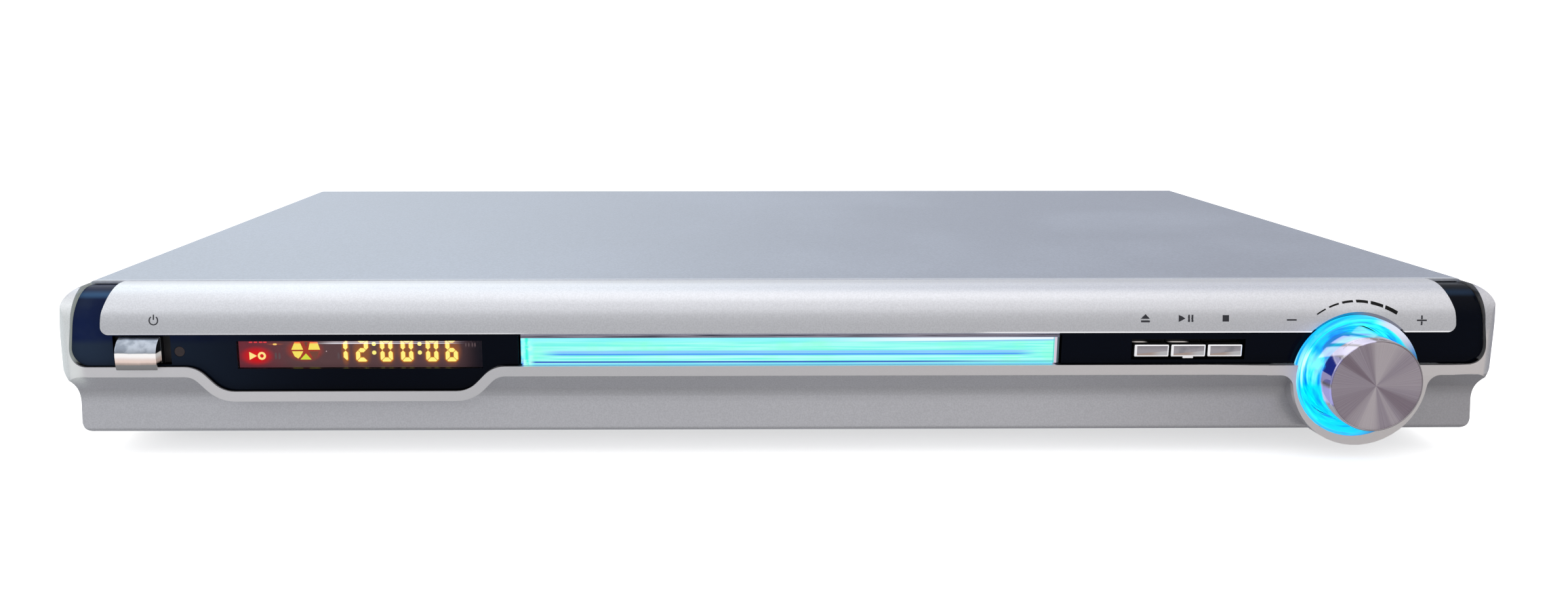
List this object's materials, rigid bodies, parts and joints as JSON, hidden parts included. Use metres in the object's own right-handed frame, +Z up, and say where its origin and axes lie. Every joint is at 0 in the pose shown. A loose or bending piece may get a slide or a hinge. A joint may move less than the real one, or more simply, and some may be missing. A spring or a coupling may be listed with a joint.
{
  "type": "disc player",
  "caption": "Slim silver disc player with a motor-driven tray, a lifting disc deck, push keys and a turning volume knob.",
  "frame": {"origin": "on the table under the middle of the player's box", "axes": "+X to the player's right as seen from the front, +Y to its back, +Z up"},
  "size_m": [0.43, 0.2802, 0.0524],
  "materials": {
    "chassis_pan": "plain zinc-plated sheet",
    "top_cover": "silver brushed-look paint",
    "rear_panel": "plain zinc-plated sheet",
    "cover_screws": "plated",
    "foot_front_left": "silver painted",
    "foot_front_right": "silver painted",
    "foot_rear_left": "silver painted",
    "foot_rear_right": "silver painted",
    "foot_pads": "soft black rubber",
    "front_frame": "silver metallic paint",
    "black_fascia": "gloss black",
    "visor": "silver metallic paint",
    "display_window": "smoked red acrylic",
    "vfd_display": "dark display tube",
    "ir_receiver": "dark red plastic",
    "display_board": "green board",
    "control_board": "green board",
    "tact_switches": "black plastic",
    "power_button": "plated plastic",
    "open_close_button": "plated plastic",
    "play_pause_button": "plated plastic",
    "stop_button": "plated plastic",
    "knob_light_ring": "clear acrylic lit blue",
    "ring_led_board": "green board with LEDs",
    "volume_knob": "plated plastic",
    "knob_face": "spun",
    "encoder_shaft": "plain",
    "volume_encoder": "plain can",
    "disc_tray": "satin black",
    "tray_door": "clear acrylic lit from behind",
    "door_light_bar": "milky light guide",
    "tray_drive_gear": "natural acetal",
    "pulley_gear": "natural acetal",
    "motor_pulley": "natural acetal",
    "drive_belt": "black rubber",
    "loading_motor": "plated can",
    "loader_frame": "black moulding",
    "clamp_bridge": "plated sheet",
    "disc_clamp": "black moulding",
    "tilt_frame": "black moulding",
    "deck_dampers": "soft rubber",
    "pickup_deck": "plated sheet",
    "guide_rods": "ground steel",
    "spindle_motor": "plated can",
    "turntable": "black moulding with a rubber ring",
    "optical_pickup": "die-cast",
    "objective_lens": "black holder with a clear lens",
    "sled_motor": "plated can",
    "sled_screw": "ground steel",
    "cam_slider": "natural acetal",
    "main_board": "green board",
    "power_board": "tan board",
    "board_chips": "black packages",
    "transformer": "taped core",
    "capacitors": "sleeved cans",
    "heat_sink": "plain extrusion",
    "video_jacks": "black block, plated barrels",
    "audio_jacks": "black block, plated barrels",
    "mains_inlet": "black moulding",
    "front_ribbon": "white flat cable"
  },
  "bodies": {
    "case": {"chassis_pan": "chassis_pan", "top_cover": "top_cover", "rear_panel": "rear_panel", "cover_screws": "cover_screws", "foot_front_left": "foot_front_left", "foot_front_right": "foot_front_right", "foot_rear_left": "foot_rear_left", "foot_rear_right": "foot_rear_right", "foot_pads": "foot_pads", "front_frame": "front_frame", "black_fascia": "black_fascia", "visor": "visor", "display_window": "display_window", "vfd_display": "vfd_display", "ir_receiver": "ir_receiver", "display_board": "display_board", "control_board": "control_board", "tact_switches": "tact_switches", "knob_light_ring": "knob_light_ring", "ring_led_board": "ring_led_board", "volume_encoder": "volume_encoder", "drive_belt": "drive_belt", "loading_motor": "loading_motor", "loader_frame": "loader_frame", "clamp_bridge": "clamp_bridge", "main_board": "main_board", "power_board": "power_board", "board_chips": "board_chips", "transformer": "transformer", "capacitors": "capacitors", "heat_sink": "heat_sink", "video_jacks": "video_jacks", "audio_jacks": "audio_jacks", "mains_inlet": "mains_inlet", "front_ribbon": "front_ribbon"},
    "tray": {"disc_tray": "disc_tray", "tray_door": "tray_door", "door_light_bar": "door_light_bar"},
    "drive_gear": {"tray_drive_gear": "tray_drive_gear"},
    "idler": {"pulley_gear": "pulley_gear"},
    "motor_rotor": {"motor_pulley": "motor_pulley"},
    "clamp": {"disc_clamp": "disc_clamp"},
    "slider": {"cam_slider": "cam_slider"},
    "deck": {"tilt_frame": "tilt_frame", "deck_dampers": "deck_dampers", "pickup_deck": "pickup_deck", "guide_rods": "guide_rods", "spindle_motor": "spindle_motor", "sled_motor": "sled_motor"},
    "turntable": {"turntable": "turntable"},
    "sled": {"optical_pickup": "optical_pickup"},
    "lead_screw": {"sled_screw": "sled_screw"},
    "lens": {"objective_lens": "objective_lens"},
    "power_key": {"power_button": "power_button"},
    "open_close_key": {"open_close_button": "open_close_button"},
    "play_pause_key": {"play_pause_button": "play_pause_button"},
    "stop_key": {"stop_button": "stop_button"},
    "knob": {"volume_knob": "volume_knob", "knob_face": "knob_face", "encoder_shaft": "encoder_shaft"}
  },
  "joints": [
    {"name": "tray_slide", "type": "slide", "parent": "case", "child": "tray", "axis": [0, -1, 0], "range_m": [0, 0.14]},
    {"name": "drive_gear_turn", "type": "hinge", "parent": "case", "child": "drive_gear", "pos_m": [-0.05, -0.0889, 0.019], "axis": [0, 0, 1], "range_deg": [-2, 1004.68]},
    {"name": "idler_turn", "type": "hinge", "parent": "case", "child": "idler", "pos_m": [-0.0308, -0.0889, 0.0146], "axis": [0, 0, 1], "range_deg": [-3010.03, 2]},
    {"name": "motor_turn", "type": "hinge", "parent": "case", "child": "motor_rotor", "pos_m": [0.0102, -0.0889, 0.0146], "axis": [0, 0, 1], "range_deg": [-10342.1, 2]},
    {"name": "cam_slide", "type": "slide", "parent": "case", "child": "slider", "axis": [1, 0, 0], "range_m": [0, 0.018]},
    {"name": "deck_lift", "type": "hinge", "parent": "case", "child": "deck", "pos_m": [0.0028, 0.0651, 0.0236], "axis": [1, 0, 0], "range_deg": [0, 3.37]},
    {"name": "turntable_spin", "type": "hinge", "parent": "deck", "child": "turntable", "pos_m": [0.0028, -0.0509, 0.036], "axis": [0, 0, 1], "continuous": true},
    {"name": "clamp_spin", "type": "hinge", "parent": "case", "child": "clamp", "pos_m": [0.0028, -0.0509, 0.0402], "axis": [0, 0, 1], "continuous": true},
    {"name": "sled_slide", "type": "slide", "parent": "deck", "child": "sled", "axis": [0, 1, 0], "range_m": [0, 0.034]},
    {"name": "screw_turn", "type": "hinge", "parent": "deck", "child": "lead_screw", "pos_m": [0.0388, -0.0409, 0.0232], "axis": [0, 1, 0], "range_deg": [-2, 4082]},
    {"name": "lens_focus", "type": "slide", "parent": "sled", "child": "lens", "axis": [0, 0, 1], "range_m": [-0.0005, 0.0005], "stiffness_N_per_m": 150},
    {"name": "power_press", "type": "slide", "parent": "case", "child": "power_key", "axis": [0, 1, 0], "range_m": [0, 0.0008], "stiffness_N_per_m": 400},
    {"name": "open_close_press", "type": "slide", "parent": "case", "child": "open_close_key", "axis": [0, 1, 0], "range_m": [0, 0.0006], "stiffness_N_per_m": 400},
    {"name": "play_pause_press", "type": "slide", "parent": "case", "child": "play_pause_key", "axis": [0, 1, 0], "range_m": [0, 0.0006], "stiffness_N_per_m": 400},
    {"name": "stop_press", "type": "slide", "parent": "case", "child": "stop_key", "axis": [0, 1, 0], "range_m": [0, 0.0006], "stiffness_N_per_m": 400},
    {"name": "volume_turn", "type": "hinge", "parent": "case", "child": "knob", "pos_m": [0.1716, -0.1269, 0.0254], "axis": [0, 1, 0], "continuous": true}
  ],
  "couplings": [
    {"joint": "drive_gear_turn", "follows": "tray_slide", "rad_per_m": 125},
    {"joint": "idler_turn", "follows": "tray_slide", "rad_per_m": -375},
    {"joint": "motor_turn", "follows": "tray_slide", "rad_per_m": -1289.1},
    {"joint": "deck_lift", "follows": "cam_slide", "rad_per_m": 3.2586},
    {"joint": "clamp_spin", "follows": "turntable_spin", "ratio": 1},
    {"joint": "screw_turn", "follows": "sled_slide", "rad_per_m": 2094.4}
  ]
}
